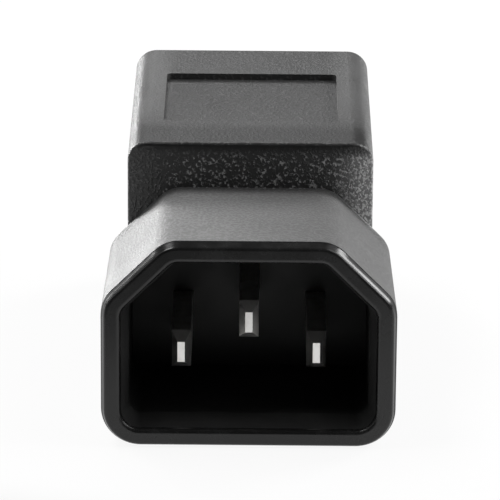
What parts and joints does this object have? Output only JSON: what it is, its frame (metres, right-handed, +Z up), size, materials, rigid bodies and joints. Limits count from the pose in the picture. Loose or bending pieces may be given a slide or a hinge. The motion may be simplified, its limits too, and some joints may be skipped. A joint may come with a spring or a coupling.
{
  "type": "iec power adapter",
  "caption": "Moulded black power adapter with a shrouded flat-pin plug end and a slotted outlet at the back, joined straight through in one block.",
  "frame": {"origin": "under the middle of the body, on the plane of its flat underside", "axes": "+Z up from the underside, -Y out of the plug end, +Y out of the outlet end, +X to the right when facing the plug end's pins from the front"},
  "size_m": [0.0304, 0.053, 0.0269],
  "materials": {
    "jacket_plastic": "near-black moulded jacket with a spark-eroded grain",
    "insert_plastic": "glossy black hard plastic",
    "core_plastic": "plain dark insulating plastic, hidden inside",
    "pin_nickel": "bright nickel plate on brass",
    "contact_brass": "rolled spring brass strip"
  },
  "bodies": {
    "root": {"jacket": "jacket_plastic", "plug_shroud": "insert_plastic", "receptacle_face": "insert_plastic", "contact_carrier": "core_plastic", "line_pin": "pin_nickel", "neutral_pin": "pin_nickel", "earth_pin": "pin_nickel", "line_contact": "contact_brass", "neutral_contact": "contact_brass", "earth_contact": "contact_brass"}
  },
  "joints": []
}
